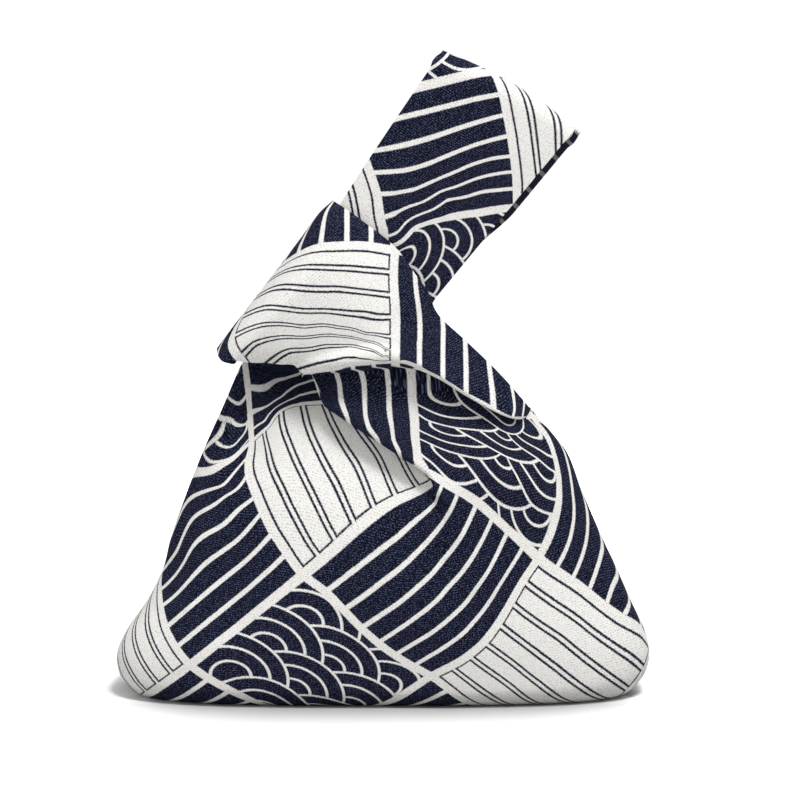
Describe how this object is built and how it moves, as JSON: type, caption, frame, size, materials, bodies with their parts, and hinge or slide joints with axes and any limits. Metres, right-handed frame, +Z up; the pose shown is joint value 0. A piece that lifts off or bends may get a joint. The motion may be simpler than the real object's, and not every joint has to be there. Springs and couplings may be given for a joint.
{
  "type": "knot bag",
  "caption": "Small cloth knot bag standing on its soft flat base; its long handle passes through the loop of its short handle, drawn over it like a knot.",
  "frame": {"origin": "middle of the bag's base, on the surface it stands on", "axes": "+Z up, +X to the right and -Y towards the viewer in front of the bag"},
  "size_m": [0.2351, 0.0896, 0.2866],
  "materials": {
    "printed_cloth": "matte woven cotton, navy and off-white print"
  },
  "bodies": {
    "root": {"front_panel": "printed_cloth", "back_panel": "printed_cloth"}
  },
  "joints": []
}
